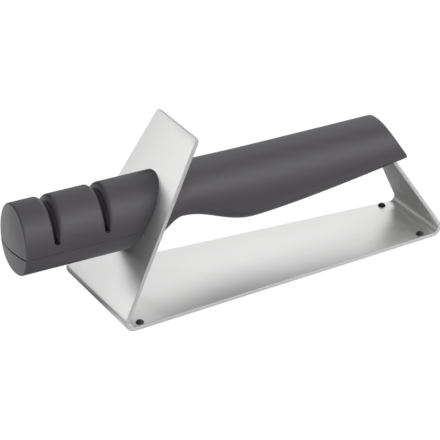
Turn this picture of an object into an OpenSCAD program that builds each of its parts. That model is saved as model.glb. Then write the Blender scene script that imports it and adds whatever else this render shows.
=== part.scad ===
// Pull through knife sharpener: a moulded head and handle carried by one bent sheet of steel.
// X runs from the head to the tail, Y across, Z up. Heights named _z are above the sheet's underside.
// The feet stand on Z = 0, and the origin lies under the middle of the whole object.

/* [Stand sheet] */
// Thickness of the sheet
sheet_t = 2; // [1.6:0.1:2.4]
// Inside radius of both bends
bend_r = 3; // [2:0.25:5]
// Length of the base between its two sharp corners
base_len = 200.4; // [196:0.5:206]
// Width of the sheet at the front bend
front_w = 67.6; // [62:1:76]
// Width of the sheet at the rear bend
rear_w = 43; // [40:1:50]
// Angle between the base and the front plate
front_angle = 60.5; // [59:0.5:62]
// Length of the front plate along its slope, from the sharp corner
front_len = 103; // [98:1:110]
// Width of the front plate at its top
front_top_w = 41; // [36:1:50]
// Corner radius at the top of the front plate
plate_corner_r = 2; // [1:0.5:7]
// Angle between the base and the rear plate
rear_angle = 59.5; // [58:0.5:61]
// Width of the rear plate where it enters the handle
rear_top_w = 19.8; // [18:0.2:24]
// Depth of the rear plate's tab in the handle
tab_depth = 6; // [4:0.5:8]
// Corner radius of the tab
tab_corner_r = 2; // [1:0.5:3]

/* [Feet] */
// Radius of the domed head that shows on the sheet
foot_head_r = 2.5; // [2:0.1:3]
// Height of the domed head
foot_head_h = 1.3; // [0.8:0.1:2]
// Radius of the neck in the sheet's hole
foot_neck_r = 1.6; // [1.2:0.1:1.9]
// Radius of the pad under the sheet
foot_pad_r = 2.4; // [2.2:0.1:3.1]
// Height of the pad under the sheet
foot_pad_h = 0.6; // [0.4:0.1:2.5]
// Distance from a foot's centre to the long edge of the base
foot_inset = 3.2; // [3.1:0.1:6]
// Distance from the front feet to the sharp front corner
front_foot_x = 13; // [12.5:0.5:20]
// Distance from the rear feet to the sharp rear corner
rear_foot_x = 15.3; // [12.5:0.5:20]

/* [Body outline] */
// Width of the head and handle
body_w = 30.4; // [29.5:0.2:33]
// Height of the straight top line
top_z = 66.6; // [65:0.2:70]
// Height of the head's underside
head_z = 29.4; // [28:0.1:29.6]
// Height of the widest line of the head
waist_z = 46; // [45:0.5:47]
// Length of the head in front of the sharp front corner
head_reach = 40; // [39.5:0.5:46]
// Bulge of the front face
face_bulge = 2; // [0.5:0.5:4]
// Rounding where the front face meets the sides
face_edge_r = 0.9; // [0.5:0.1:2.5]
// Height of the seam between the head's shell and its cover
seam_z = 42.7; // [41.5:0.1:43]

/* [Handle] */
// Where the finger guard starts to rise
guard_x = 26; // [24:0.5:30]
// Place of the neck behind the finger guard
neck_x = 46.5; // [44:0.5:55]
// Height of the underside at the neck
neck_z = 41.5; // [36:0.1:43]
// Place of the belly
belly_x = 90; // [82:1:96]
// Height of the underside at the belly
belly_z = 30.1; // [28:0.1:32]
// Place of the tail's lower tip
tail_x = 182.5; // [178:0.5:190]
// Height of the underside at the tail's tip
tail_z = 43; // [41:0.2:45]
// Distance by which the top ends before the tip
tail_slant = 14.5; // [10:0.5:24]
// Bulge of the slanted tail, or its hollow where it is negative
tail_bulge = -1.4; // [-2:0.2:3]
// Rounding round the tail's edge
tail_edge_r = 1.4; // [0.6:0.2:2]

/* [Slots] */
// Distance of the front slot before the sharp front corner
slot_reach = 22.8; // [22:0.2:23.4]
// Distance between the two slots
slot_pitch = 27.2; // [24:0.2:27.6]
// Height of the slots' round floor
slot_floor_z = 47; // [46.4:0.1:48]
// Width of a slot between its walls
slot_w = 2.6; // [2.2:0.1:4.8]
// Radius of a slot's lip towards the handle, at the top; it fades out below the slot's floor
slot_lip_r = 3.2; // [2:0.1:3.6]
// Radius of a slot's lip towards the front face, at the top
front_lip_r = 2.3; // [1:0.1:3.6]
// Distance below the slot's floor at which the lips have faded out
lip_fade = 1; // [0.5:0.1:2]

/* [Shells] */
// Wall of the head's shell
shell_t = 2.4; // [2:0.1:2.6]
// Wall behind the front face
face_t = 3; // [2:0.1:3.2]
// Wall that lies against the front plate
bulkhead_t = 2.5; // [2:0.1:3]
// Thickness of the cover's locating lip
lip_t = 1; // [0.8:0.1:1.1]
// Height of the cover's locating lip
lip_h = 1.5; // [1:0.1:2]
// Clearance between pieces that fit into each other
fit_gap = 0.15; // [0.1:0.01:0.2]

/* [Wheels] */
// Radius of the axles
axle_r = 1.5; // [1.2:0.1:1.8]
// Height of the axles
axle_z = 43.5; // [43.3:0.1:43.8]
// Running clearance between a wheel's bore and its axle
run_gap = 0.05; // [0.02:0.01:0.08]
// Clearance beside each wheel
side_gap = 0.12; // [0.1:0.01:0.2]
// Outer radius of a wheel
wheel_r = 9.3; // [8.6:0.1:9.5]
// Radius at the root of the V between two wheels
vee_r = 4.7; // [4.2:0.1:5.2]
// Half angle of the V
vee_angle = 18; // [14:0.5:20]
// Thickness of a wheel
wheel_t = 4; // [3.6:0.1:4.1]
// Thickness of the spacer between two wheels
spacer_t = 0.6; // [0.4:0.1:0.8]
// Thickness of the washers outside the wheels
washer_t = 0.6; // [0.4:0.1:0.7]
// Radius of the washers
washer_r = 4; // [3:0.1:5]
// Thickness of the holder's end walls
holder_t = 2; // [1.6:0.1:2]
// Thickness of the holder's round trough
trough_t = 1.5; // [1.2:0.1:1.6]
// Clearance round the wheels in the trough
trough_gap = 0.6; // [0.4:0.1:0.6]

/* [Tongue and screws] */
// Width of the handle's tongue
tongue_w = 17; // [15:0.5:18]
// Height of the tongue's underside
tongue_z = 46; // [45.5:0.1:47]
// Thickness of the tongue
tongue_t = 8; // [6:0.5:9]
// Distance from the front corner to the tongue's end
tongue_x = 14; // [13:0.5:14.5]
// Corner radius of the window in the front plate
window_r = 1.5; // [0.8:0.1:2]
// Distance from the front corner to the tongue's screws
tongue_screw_x = 18.5; // [18:0.1:19]
// Distance between the two tongue screws
tongue_screw_pitch = 10; // [8:0.5:11]
// Radius of the screws' shanks
screw_r = 1.2; // [1:0.05:1.3]
// Radius of the screws' heads
screw_head_r = 2.3; // [2:0.1:2.4]
// Height of the screws' heads
screw_head_h = 1.6; // [1.2:0.1:2]
// Length of the cover screws under their heads
cover_screw_len = 14; // [12:0.5:15]
// Length of the tongue screws under their heads
tongue_screw_len = 14; // [12:0.5:14]
// Radius of the screw posts in the shell
post_r = 2.8; // [2.6:0.1:3]
// Radius of the screw bosses in the cover
boss_r = 3.2; // [3.1:0.1:3.3]
// Height of the cover screws' seats
seat_z = 36; // [35:0.2:38]

/* [Hidden] */

charcoal = "#49484b";
black = "#242427";
steel = "#c9c9c7";
$fn = 64;

// Overrun of every cut
over = 1;
// Points round a section of the body, rings along the handle, and steps round a small edge
ring_n = 48;
handle_rings = 36;
edge_steps = 3;
dome_steps = 4;
// Roundness of the body's section below and above its widest line
low_power = 2.25;
up_power = 2.05;
// Rings across a lip, as shares of its radius away from the slot
lip_ring_shares = [0, 0.05, 0.16, 0.34, 0.6, 1];
// How quickly a lip's radius grows from its foot, towards the handle and towards the face
lip_power = 0.7;
front_lip_power = 0.35;
// Share of the underside's rise that the widest line follows along the handle
waist_lift_share = 0.35;
// Steepness of the underside's rise behind the belly
tail_power = 1.41;
// Share of a screw head that its cross recess takes across, along and in depth
recess_share = 0.7;
recess_w_share = 0.18;
recess_depth_share = 0.6;

// Bends of the sheet, and a length along its plates at which nothing of it is left
outer_r = bend_r + sheet_t;
past_len = front_len + base_len / 4;
front_tangent = outer_r / tan(front_angle / 2);
rear_tangent = outer_r / tan(rear_angle / 2);

// The whole object from the front face to the rear bend
front_end_x = -head_reach - face_bulge;
rear_end_x = base_len - rear_tangent + outer_r;
middle_x = (front_end_x + rear_end_x) / 2;

// Faces of the front plate at a height
function plate_x(z) = z / tan(front_angle);
function plate_back_x(z) = plate_x(z) + sheet_t / sin(front_angle);

// Underside of the body: head, finger guard, neck, belly and the long rise to the tail
function ease(from, to, share) = from + (to - from) * (1 - cos(180 * share)) / 2;
function underside(x) =
    x < guard_x ? head_z
    : x < neck_x ? ease(head_z, neck_z, (x - guard_x) / (neck_x - guard_x))
    : x < belly_x ? ease(neck_z, belly_z, (x - neck_x) / (belly_x - neck_x))
    : belly_z + (tail_z - belly_z) * pow((x - belly_x) / (tail_x - belly_x), tail_power);
function waist(x) = waist_z + (underside(x) - head_z) * waist_lift_share;

// Rear plate: the tab stands in the handle above its mouth
tab_mouth_z = underside(base_len - tail_z / tan(rear_angle));
mouth_len = tab_mouth_z / sin(rear_angle);
rear_len = (tab_mouth_z + tab_depth) / sin(rear_angle);
rear_taper_from = rear_tangent + over;
function rear_half(len) =
    (rear_w + (rear_top_w - rear_w) * (len - rear_taper_from) / (mouth_len - rear_taper_from)) / 2;

// Base edges and feet
function base_half(x) =
    (front_w + (rear_w - front_w) * (x - front_tangent)
     / (base_len - front_tangent - rear_tangent)) / 2;
rear_foot_at = base_len - rear_foot_x;
foot_places = [
    [front_foot_x, -base_half(front_foot_x) + foot_inset],
    [front_foot_x, base_half(front_foot_x) - foot_inset],
    [rear_foot_at, -base_half(rear_foot_at) + foot_inset],
    [rear_foot_at, base_half(rear_foot_at) - foot_inset]];

// Wheel stack along an axle, from the middle of a slot outwards
wheel_from = spacer_t / 2 + side_gap;
washer_from = wheel_from + wheel_t + side_gap;
wall_from = washer_from + washer_t;
holder_half = wall_from + holder_t;
trough_r = wheel_r + trough_gap;
holder_r = trough_r + trough_t;
slots = [-slot_reach, -slot_reach + slot_pitch];

// Screws of the cover stand before the front holder and between the holders
cavity_x = -head_reach + face_t;
cover_screw_places = [(cavity_x + slots[0] - holder_half) / 2, (slots[0] + slots[1]) / 2];
tongue_top_z = tongue_z + tongue_t;
hole_r = screw_r + fit_gap;
pilot_r = screw_r + run_gap;

// A section of the body: points round its outline, between its lowest, highest and widest lines
function curve(v, power) = sign(v) * pow(abs(v), 2 / power);
function outline_point(i, low, high, wide, half) =
    let (a = 360 * i / ring_n, p = a > 180 ? low_power : up_power,
         reach = a > 180 ? wide - low : high - wide)
    [half * curve(cos(a), p), wide + reach * curve(sin(a), p)];
function section(low, high, wide, half) =
    [for (i = [0 : ring_n - 1]) outline_point(i, low, high, wide, half)];
function body_section(x, inset) =
    section(underside(x) + inset, top_z - inset, waist(x), body_w / 2 - inset);

// How far the head's surface drops in at a slot's lip, whose radius grows from the floor up
function lip_r(off, share) = off < 0 ? front_lip_r * pow(share, front_lip_power)
    : slot_lip_r * pow(share, lip_power);
function lip_drop(x, z) =
    let (foot_z = slot_floor_z - lip_fade,
         off = x - (abs(x - slots[0]) < abs(x - slots[1]) ? slots[0] : slots[1]),
         r = lip_r(off, max(0, (z - foot_z) / (top_z - foot_z))),
         d = max(0, abs(off) - slot_w / 2))
    d < r ? r - sqrt(pow(r, 2) - pow(r - d, 2)) : 0;
function head_ring(x, inset) = [for (i = [0 : ring_n - 1])
    let (half = body_w / 2,
         plain = outline_point(i, head_z + inset, top_z - inset, waist_z, half - inset),
         drop = inset + lip_drop(x, plain[1]))
    outline_point(i, head_z + drop, top_z - drop, waist_z, half - drop)];

module lift() { translate([-middle_x, 0, foot_pad_h]) children(); }

module along_x(x) { translate([x, 0, axle_z]) rotate([0, 90, 0]) children(); }

// Side cylinder: runs along X and is centred on x
module drum(x, r, half) { along_x(x) cylinder(r = r, h = 2 * half, center = true); }

module disc_ring(x, from, thick, inner, outer) {
    along_x(x + from) difference() {
        cylinder(r = outer, h = thick);
        translate([0, 0, -over]) cylinder(r = inner, h = thick + 2 * over);
    }
}

// A closed skin over a row of rings, with a tip point at each end
module loft(rings, first_tip, last_tip) {
    n = len(rings[0]);
    m = len(rings);
    polyhedron(
        points = concat([for (r = rings) each r], [first_tip, last_tip]),
        faces = concat(
            [for (k = [0 : m - 2], i = [0 : n - 1]) let (j = (i + 1) % n)
                each [[k * n + i, (k + 1) * n + i, (k + 1) * n + j],
                      [k * n + i, (k + 1) * n + j, k * n + j]]],
            [for (i = [0 : n - 1]) [m * n, i, (i + 1) % n]],
            [for (i = [0 : n - 1]) [m * n + 1, (m - 1) * n + (i + 1) % n, (m - 1) * n + i]]));
}

// A straight sided outline with one corner rounded by a true arc
module rounded_corner(before, corner, after, r) {
    u = (before - corner) / norm(before - corner);
    v = (after - corner) / norm(after - corner);
    half = acos(u * v) / 2;
    middle = corner + (u + v) / norm(u + v) * r / sin(half);
    difference() {
        children();
        difference() {
            polygon([corner, corner + u * r / tan(half), middle, corner + v * r / tan(half)]);
            translate(middle) circle(r = r);
        }
    }
}

module plate_outline(from, to, from_half, to_half, r) {
    a = [from, -from_half];
    b = [to, -to_half];
    c = [to, to_half];
    d = [from, from_half];
    rounded_corner(a, b, c, r) rounded_corner(b, c, d, r) polygon([a, b, c, d]);
}

// Local frames of the plates: X up along the plate, Z square to it, outer face at Z = 0
module on_front_plate() { rotate([0, -front_angle, 0]) children(); }
module on_rear_plate() {
    translate([base_len, 0, 0]) rotate([0, rear_angle - 180, 0]) children();
}

// Side view of a folded strip: both plates run on past their ends, and both corners are rounded
function up_line(corner, angle, len) = corner + len * [cos(angle), sin(angle)];
module folded(front_corner, rear_corner, len, r) {
    front_end = up_line(front_corner, front_angle, len);
    rear_end = up_line(rear_corner, 180 - rear_angle, len);
    rounded_corner(front_end, front_corner, rear_corner, r)
        rounded_corner(front_corner, rear_corner, rear_end, r)
            polygon([front_end, front_corner, rear_corner, rear_end]);
}

// The whole sheet, bent but not yet cut to its outline
module bent_strip() {
    front_inner = [sheet_t / tan(front_angle / 2), sheet_t];
    rear_inner = [base_len - sheet_t / tan(rear_angle / 2), sheet_t];
    translate([0, front_w / 2, 0]) rotate([90, 0, 0]) linear_extrude(front_w) difference() {
        folded([0, 0], [base_len, 0], front_len + 2 * over, outer_r);
        folded(front_inner, rear_inner, past_len, bend_r);
    }
}

// What is cut away from one flat stretch of the sheet, all round its outline
module trim(from, to) {
    translate([0, 0, -over]) linear_extrude(sheet_t + 2 * over) difference() {
        translate([from, -front_w]) square([to - from, 2 * front_w]);
        children();
    }
}

// Everything behind a plane parallel to the front plate, set forward of its outer face
module behind_plate(forward) {
    on_front_plate() translate([-top_z, -body_w, forward - 2 * top_z])
        cube([3 * top_z, 2 * body_w, 2 * top_z]);
}

// Stand
module window() {
    low = tongue_z / sin(front_angle) - fit_gap - sheet_t;
    high = tongue_top_z / sin(front_angle) + sheet_t / tan(front_angle) + fit_gap;
    half = tongue_w / 2 + fit_gap;
    on_front_plate() translate([low, -half, -sheet_t - over]) {
        translate([window_r, 0, 0]) cube([high - low - 2 * window_r, 2 * half, sheet_t + 2 * over]);
        translate([0, window_r, 0]) cube([high - low, 2 * (half - window_r), sheet_t + 2 * over]);
        for (u = [window_r, high - low - window_r], v = [window_r, 2 * half - window_r])
            translate([u, v, 0]) cylinder(r = window_r, h = sheet_t + 2 * over);
    }
}

module stand() {
    rear_bend_x = base_len - rear_tangent;
    color(steel) lift() difference() {
        bent_strip();
        trim(front_tangent, rear_bend_x) polygon([
            [front_tangent, -front_w / 2], [rear_bend_x, -rear_w / 2],
            [rear_bend_x, rear_w / 2], [front_tangent, front_w / 2]]);
        for (y = [-front_w - rear_w / 2, rear_w / 2]) translate([rear_bend_x, y, -over])
            cube([rear_tangent + outer_r, front_w, 2 * outer_r]);
        on_front_plate() translate([0, 0, -sheet_t]) trim(front_tangent, past_len)
            plate_outline(front_tangent, front_len, front_w / 2, front_top_w / 2, plate_corner_r);
        on_rear_plate() trim(rear_tangent, past_len) plate_outline(
            rear_tangent, rear_len, rear_half(rear_tangent), rear_half(rear_len), tab_corner_r);
        window();
        for (p = foot_places) translate([p[0], p[1], -over])
            cylinder(r = foot_neck_r, h = sheet_t + 2 * over);
    }
}

// Rubber foot: pad, neck and domed head in one piece
module foot(k) {
    dome_r = (pow(foot_head_r, 2) + pow(foot_head_h, 2)) / (2 * foot_head_h);
    color(black) lift() translate(foot_places[k]) {
        translate([0, 0, -foot_pad_h]) cylinder(r = foot_pad_r, h = foot_pad_h);
        cylinder(r = foot_neck_r, h = sheet_t);
        translate([0, 0, sheet_t]) intersection() {
            cylinder(r = foot_head_r, h = foot_head_h);
            translate([0, 0, foot_head_h - dome_r]) sphere(r = dome_r);
        }
    }
}

// Outer form of the head: a domed face, a rounded edge, slot lips and a run past the plate
module head_form(lip_xs) {
    half = body_w / 2;
    flat = half - face_edge_r;
    domed = [for (k = [1 : dome_steps - 1]) let (r = flat * k / dome_steps)
        [half - r, -head_reach - face_bulge * (1 - pow(r / flat, 2))]];
    edge = [for (k = [edge_steps : -1 : 0]) let (a = 90 * k / edge_steps)
        [face_edge_r * (1 - cos(a)), -head_reach + face_edge_r * (1 - sin(a))]];
    stations = concat(domed, edge, [for (x = lip_xs) [0, x]], [[0, plate_x(top_z) + over]]);
    middle = (head_z + top_z) / 2;
    loft([for (s = stations) [for (p = head_ring(s[1], s[0])) [s[1], p[0], p[1]]]],
         [front_end_x, 0, middle], [plate_x(top_z) + over, 0, middle]);
}

// Inside of the head, drawn in by wall, between the front face and the bulkhead
module head_inside(wall) {
    difference() {
        translate([cavity_x, 0, 0]) rotate([90, 0, 90])
            linear_extrude(plate_x(top_z) - cavity_x)
                polygon(section(head_z + wall, top_z - wall, waist_z, body_w / 2 - wall));
        behind_plate(bulkhead_t);
    }
}

module slab(low, high) {
    translate([front_end_x - over, -body_w, low])
        cube([plate_x(top_z) - front_end_x + 3 * over, 2 * body_w, high - low]);
}

// One slot: straight walls and a round floor
module slot_cut(x) {
    translate([x, body_w, slot_floor_z + slot_w / 2]) rotate([90, 0, 0])
        cylinder(r = slot_w / 2, h = 2 * body_w);
    translate([x - slot_w / 2, -body_w, slot_floor_z + slot_w / 2])
        cube([slot_w, 2 * body_w, top_z]);
}

module post(x, y, low) {
    translate([x, y, low]) cylinder(r = post_r, h = top_z - low);
}

module tongue_block(gap) {
    translate([tongue_x - gap, -tongue_w / 2 - gap, tongue_z - gap])
        cube([plate_back_x(top_z) - tongue_x + 2 * gap, tongue_w + 2 * gap, tongue_t + 2 * gap]);
}

module tongue_screw_places(z) {
    for (side = [-1, 1]) translate([tongue_screw_x, side * tongue_screw_pitch / 2, z]) children();
}

// Upper shell of the head, with the two knife slots and the blocks that guide the blade
module head_shell() {
    ring_count = len(lip_ring_shares);
    lip_xs = [for (x = slots, side = [-1, 1], k = [0 : ring_count - 1])
        let (share = lip_ring_shares[side < 0 ? ring_count - 1 - k : k])
        x + side * (slot_w / 2 + lip_r(side, 1) * share)];
    color(charcoal) lift() difference() {
        head_form(lip_xs);
        behind_plate(0);
        slab(head_z - over, seam_z);
        difference() {
            head_inside(shell_t);
            for (x = slots) translate([x - holder_half, -body_w, slot_floor_z + fit_gap])
                cube([2 * holder_half, 2 * body_w, top_z]);
            for (x = cover_screw_places) post(x, 0, seam_z);
            tongue_screw_places(tongue_top_z + fit_gap) cylinder(r = post_r, h = top_z);
        }
        for (x = slots) {
            drum(x, trough_r, wall_from);
            slot_cut(x);
            intersection() {
                drum(x, holder_r + fit_gap, holder_half + fit_gap);
                slab(seam_z - over, slot_floor_z + fit_gap);
            }
        }
        tongue_block(fit_gap);
        for (x = cover_screw_places) translate([x, 0, seam_z - over])
            cylinder(r = pilot_r, h = seat_z + cover_screw_len - seam_z + 2 * over);
        tongue_screw_places(tongue_top_z)
            cylinder(r = pilot_r, h = tongue_z + tongue_screw_len - tongue_top_z + over / 2);
    }
}

// Lower cover of the head, with a locating lip, screw bosses and cradles for the holders
module head_cover() {
    inner = shell_t + fit_gap + lip_t;
    color(charcoal) lift() difference() {
        union() {
            intersection() {
                difference() {
                    head_form([]);
                    behind_plate(0);
                    head_inside(inner);
                }
                slab(head_z - over, seam_z - fit_gap);
            }
            difference() {
                intersection() {
                    head_inside(shell_t + fit_gap);
                    slab(seam_z - lip_h, seam_z + lip_h);
                }
                head_inside(inner);
                behind_plate(bulkhead_t + fit_gap);
            }
            intersection() {
                head_form([]);
                for (x = cover_screw_places) translate([x, 0, head_z])
                    cylinder(r = boss_r, h = seam_z - fit_gap - head_z);
            }
        }
        for (x = slots) drum(x, holder_r + fit_gap, holder_half + fit_gap);
        for (x = cover_screw_places) {
            translate([x, 0, head_z - over]) cylinder(r = screw_head_r + fit_gap,
                                                      h = seat_z - head_z + over);
            translate([x, 0, seat_z - over]) cylinder(r = hole_r, h = top_z);
        }
    }
}

// Handle: slanted against the front plate, waisted for the finger, cut slanting at the tail
module handle_form() {
    first_x = plate_back_x(head_z);
    lean_front = 1 / tan(front_angle);
    lean_tail = -tail_slant / (top_z - tail_z);
    last_x = tail_x - tail_edge_r;
    stations = concat(
        [for (k = [0 : handle_rings]) [first_x + (last_x - first_x) * k / handle_rings, 0, 0]],
        [for (k = [1 : edge_steps]) let (a = 90 * k / edge_steps)
            [last_x, tail_edge_r * (1 - cos(a)), tail_edge_r * sin(a)]]);
    function lean_x(x, z, push) = let (share = (x - first_x) / (last_x - first_x),
                                       v = (z - underside(x)) / (top_z - underside(x)))
        x + push + (z - underside(x)) * (lean_front + (lean_tail - lean_front) * share)
        + tail_bulge * 4 * v * (1 - v) * share;
    middle = (tail_z + top_z) / 2;
    loft([for (s = stations) [for (p = body_section(s[0], s[1]))
             [lean_x(s[0], p[1], s[2]), p[0], p[1]]]],
         [plate_back_x(waist_z), 0, waist_z],
         [lean_x(last_x, middle, tail_edge_r), 0, middle]);
}

module handle() {
    color(charcoal) lift() difference() {
        union() {
            handle_form();
            tongue_block(0);
        }
        tongue_screw_places(tongue_z - over) cylinder(r = hole_r, h = tongue_t + 2 * over);
        on_rear_plate() translate([0, 0, -fit_gap]) linear_extrude(sheet_t + 2 * fit_gap)
            polygon([[mouth_len - tab_depth, -rear_half(mouth_len - tab_depth) - fit_gap],
                     [rear_len + fit_gap, -rear_half(rear_len) - fit_gap],
                     [rear_len + fit_gap, rear_half(rear_len) + fit_gap],
                     [mouth_len - tab_depth, rear_half(mouth_len - tab_depth) + fit_gap]]);
    }
}

// Screw with its head under its seat and a cross recess, driven upwards
module screw(len) {
    wide = 2 * screw_head_r * recess_share;
    slim = 2 * screw_head_r * recess_w_share;
    deep = screw_head_h * recess_depth_share;
    cylinder(r = screw_r, h = len);
    difference() {
        translate([0, 0, -screw_head_h]) cylinder(r = screw_head_r, h = screw_head_h);
        for (turn = [0, 90]) rotate([0, 0, turn])
            translate([-wide / 2, -slim / 2, -screw_head_h - over]) cube([wide, slim, deep + over]);
    }
}

module cover_screws() {
    color(steel) lift() for (x = cover_screw_places) translate([x, 0, seat_z])
        screw(cover_screw_len);
}

module tongue_screws() {
    color(steel) lift() tongue_screw_places(tongue_z) screw(tongue_screw_len);
}

// Holder: a round trough under the wheels, with an end wall at each side of them
module holder(x) {
    color(black) lift() difference() {
        drum(x, holder_r, holder_half);
        drum(x, trough_r, wall_from);
        drum(x, axle_r + run_gap, holder_half + over);
        translate([x - holder_half - over, -body_w, slot_floor_z])
            cube([2 * (holder_half + over), 2 * body_w, top_z]);
    }
}

module axle(x) { color(steel) lift() drum(x, axle_r, holder_half); }

// Wheel: a disc whose inner face is a cone, so that two of them form a V
module wheel(x, side, tint) {
    cone_t = (wheel_r - vee_r) * tan(vee_angle);
    color(tint) lift() translate([x, 0, axle_z]) rotate([0, side * 90, 0])
        translate([0, 0, wheel_from]) rotate_extrude() polygon([
            [axle_r + run_gap, 0], [vee_r, 0], [wheel_r, cone_t],
            [wheel_r, wheel_t], [axle_r + run_gap, wheel_t]]);
}

module spacer(x) {
    color(steel) lift() disc_ring(x, -spacer_t / 2, spacer_t, axle_r + run_gap,
                                  (vee_r + axle_r) / 2);
}

module washers(x) {
    color(steel) lift() for (from = [washer_from, -washer_from - washer_t])
        disc_ring(x, from, washer_t, axle_r + run_gap, washer_r);
}

stand();
foot(0);  // foot_front_left
foot(1);  // foot_front_right
foot(2);  // foot_rear_left
foot(3);  // foot_rear_right
head_shell();
head_cover();
handle();
cover_screws();
tongue_screws();
holder(slots[0]);  // coarse_holder
axle(slots[0]);  // coarse_axle
wheel(slots[0], -1, "#6b6a68");  // coarse_wheel_front
wheel(slots[0], 1, "#6b6a68");  // coarse_wheel_rear
spacer(slots[0]);  // coarse_spacer
washers(slots[0]);  // coarse_washers
holder(slots[1]);  // fine_holder
axle(slots[1]);  // fine_axle
wheel(slots[1], -1, "#3c3b3d");  // fine_wheel_front
wheel(slots[1], 1, "#3c3b3d");  // fine_wheel_rear
spacer(slots[1]);  // fine_spacer
washers(slots[1]);  // fine_washers
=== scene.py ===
from math import acos, cos, degrees, pi, radians, sin, sqrt, tan

import bmesh
import bpy
from mathutils import Matrix, Vector


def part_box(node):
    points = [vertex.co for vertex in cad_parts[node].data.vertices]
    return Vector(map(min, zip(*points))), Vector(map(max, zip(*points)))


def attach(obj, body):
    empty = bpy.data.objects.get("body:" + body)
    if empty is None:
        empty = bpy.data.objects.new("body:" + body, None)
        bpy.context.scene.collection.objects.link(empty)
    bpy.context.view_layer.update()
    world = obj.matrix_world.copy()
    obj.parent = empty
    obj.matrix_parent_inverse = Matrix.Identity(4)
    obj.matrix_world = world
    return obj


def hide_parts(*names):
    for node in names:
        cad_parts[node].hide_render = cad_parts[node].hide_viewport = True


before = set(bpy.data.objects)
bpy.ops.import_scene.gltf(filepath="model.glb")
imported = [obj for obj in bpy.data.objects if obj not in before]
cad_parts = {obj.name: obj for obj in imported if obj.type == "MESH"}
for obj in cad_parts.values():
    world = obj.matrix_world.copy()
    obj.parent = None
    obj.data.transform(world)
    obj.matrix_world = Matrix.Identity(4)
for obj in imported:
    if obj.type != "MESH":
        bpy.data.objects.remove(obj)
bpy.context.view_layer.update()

# ---------------------------------------------------------------- stand
# One sheet of 2 mm stainless steel, cut to a taper and bent twice: a tall plate that
# guards the hand, the base, and a short plate whose tab carries the tail. Its faces are
# brushed lengthwise, and its cut edges are broken by a small radius.
sheet_t, bend_r, base_len = 2.0, 3.0, 200.4
front_w, rear_w = 67.6, 43.0
front_angle, rear_angle = radians(60.5), radians(59.5)
front_len, front_top_w, plate_corner_r = 103.0, 41.0, 2.0
rear_top_w, mouth_z, tab_depth, tab_corner_r = 19.8, 41.56, 6.0, 2.0
sheet_edge_r, rim_angle, bend_steps = 0.35, radians(60), 24
foot_hole_r, foot_in, foot_from_front, foot_from_rear = 1.6, 3.2, 13.0, 15.3

outer_r = bend_r + sheet_t
front_tangent = outer_r / tan(front_angle / 2)
rear_tangent = outer_r / tan(rear_angle / 2)
rear_taper_from = rear_tangent + 1
mouth_len = mouth_z / sin(rear_angle)
rear_len = (mouth_z + tab_depth) / sin(rear_angle)
over = 1.0    # how far a cutter reaches past the face that it cuts

# Pieces are drawn in millimetres from the front corner of the base. The frame's origin lies
# on the ground under the middle, between the head's domed face and the rear bend.
head_reach, face_bulge = 40.0, 2.0
middle_x = (base_len - rear_tangent + outer_r - head_reach - face_bulge) / 2
MM = 0.001
TO_FRAME = (Matrix.Translation((-middle_x * MM, 0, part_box("stand")[0][2]))
            @ Matrix.Scale(MM, 4))


def nodes_of(material):
    """Clears a material and hands back its tree, its surface shader and its coordinates."""
    material.use_nodes = True
    tree = material.node_tree
    tree.nodes.clear()
    out = tree.nodes.new("ShaderNodeOutputMaterial")
    shader = tree.nodes.new("ShaderNodeBsdfPrincipled")
    tree.links.new(shader.outputs["BSDF"], out.inputs["Surface"])
    where = tree.nodes.new("ShaderNodeTexCoord").outputs["Object"]
    return tree, shader, where


def node(tree, kind, inputs=(), **settings):
    """A shader node with its settings, and its inputs joined or set."""
    made = tree.nodes.new(kind)
    for key, value in settings.items():
        setattr(made, key, value)
    for key, value in dict(inputs).items():
        if isinstance(value, bpy.types.NodeSocket):
            tree.links.new(value, made.inputs[key])
        else:
            made.inputs[key].default_value = value
    return made


def grain(tree, where, scale, detail=4.0, rough=0.55):
    """Noise whose grain has the given number of lumps per metre along X, Y and Z."""
    spread = node(tree, "ShaderNodeMapping", {"Vector": where, "Scale": scale})
    return node(tree, "ShaderNodeTexNoise", {
        "Vector": spread.outputs["Vector"], "Scale": 1.0, "Detail": detail,
        "Roughness": rough}).outputs["Fac"]


def between(tree, fac, low, high):
    """Turns noise, which keeps near a half, into a value between low and high."""
    return node(tree, "ShaderNodeMapRange", {
        "Value": fac, "From Min": 0.3, "From Max": 0.7, "To Min": low, "To Max": high}
    ).outputs["Result"]


def two_tone(tree, shader, fac, first, second):
    """Gives a shader a base colour between two."""
    tint = node(tree, "ShaderNodeMix", {"Factor": fac, "A": first, "B": second},
                data_type="RGBA")
    tree.links.new(tint.outputs["Result"], shader.inputs["Base Color"])


def bump(tree, height, strength, depth):
    """A normal that follows a height, whose full depth is in metres."""
    return node(tree, "ShaderNodeBump", {
        "Height": height, "Strength": strength, "Distance": depth}).outputs["Normal"]


def piece(name, bm, materials, slot, body, *cad_nodes, sharp=radians(32)):
    """Makes the finished mesh a piece: placed, smooth but for its real edges, and riding."""
    bmesh.ops.remove_doubles(bm, verts=bm.verts, dist=1e-4)
    bmesh.ops.transform(bm, matrix=TO_FRAME, verts=bm.verts)
    for face in bm.faces:
        face.smooth = True
    for edge in bm.edges:
        edge.smooth = len(edge.link_faces) == 2 and edge.calc_face_angle(0) < sharp
    mesh = bpy.data.meshes.new(name)
    bm.to_mesh(mesh)
    bm.free()
    for material in materials:
        mesh.materials.append(material)
    obj = bpy.data.objects.new(name, mesh)
    bpy.context.scene.collection.objects.link(obj)
    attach(obj, body)
    if cad_nodes:
        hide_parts(*cad_nodes)
    return obj


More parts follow.
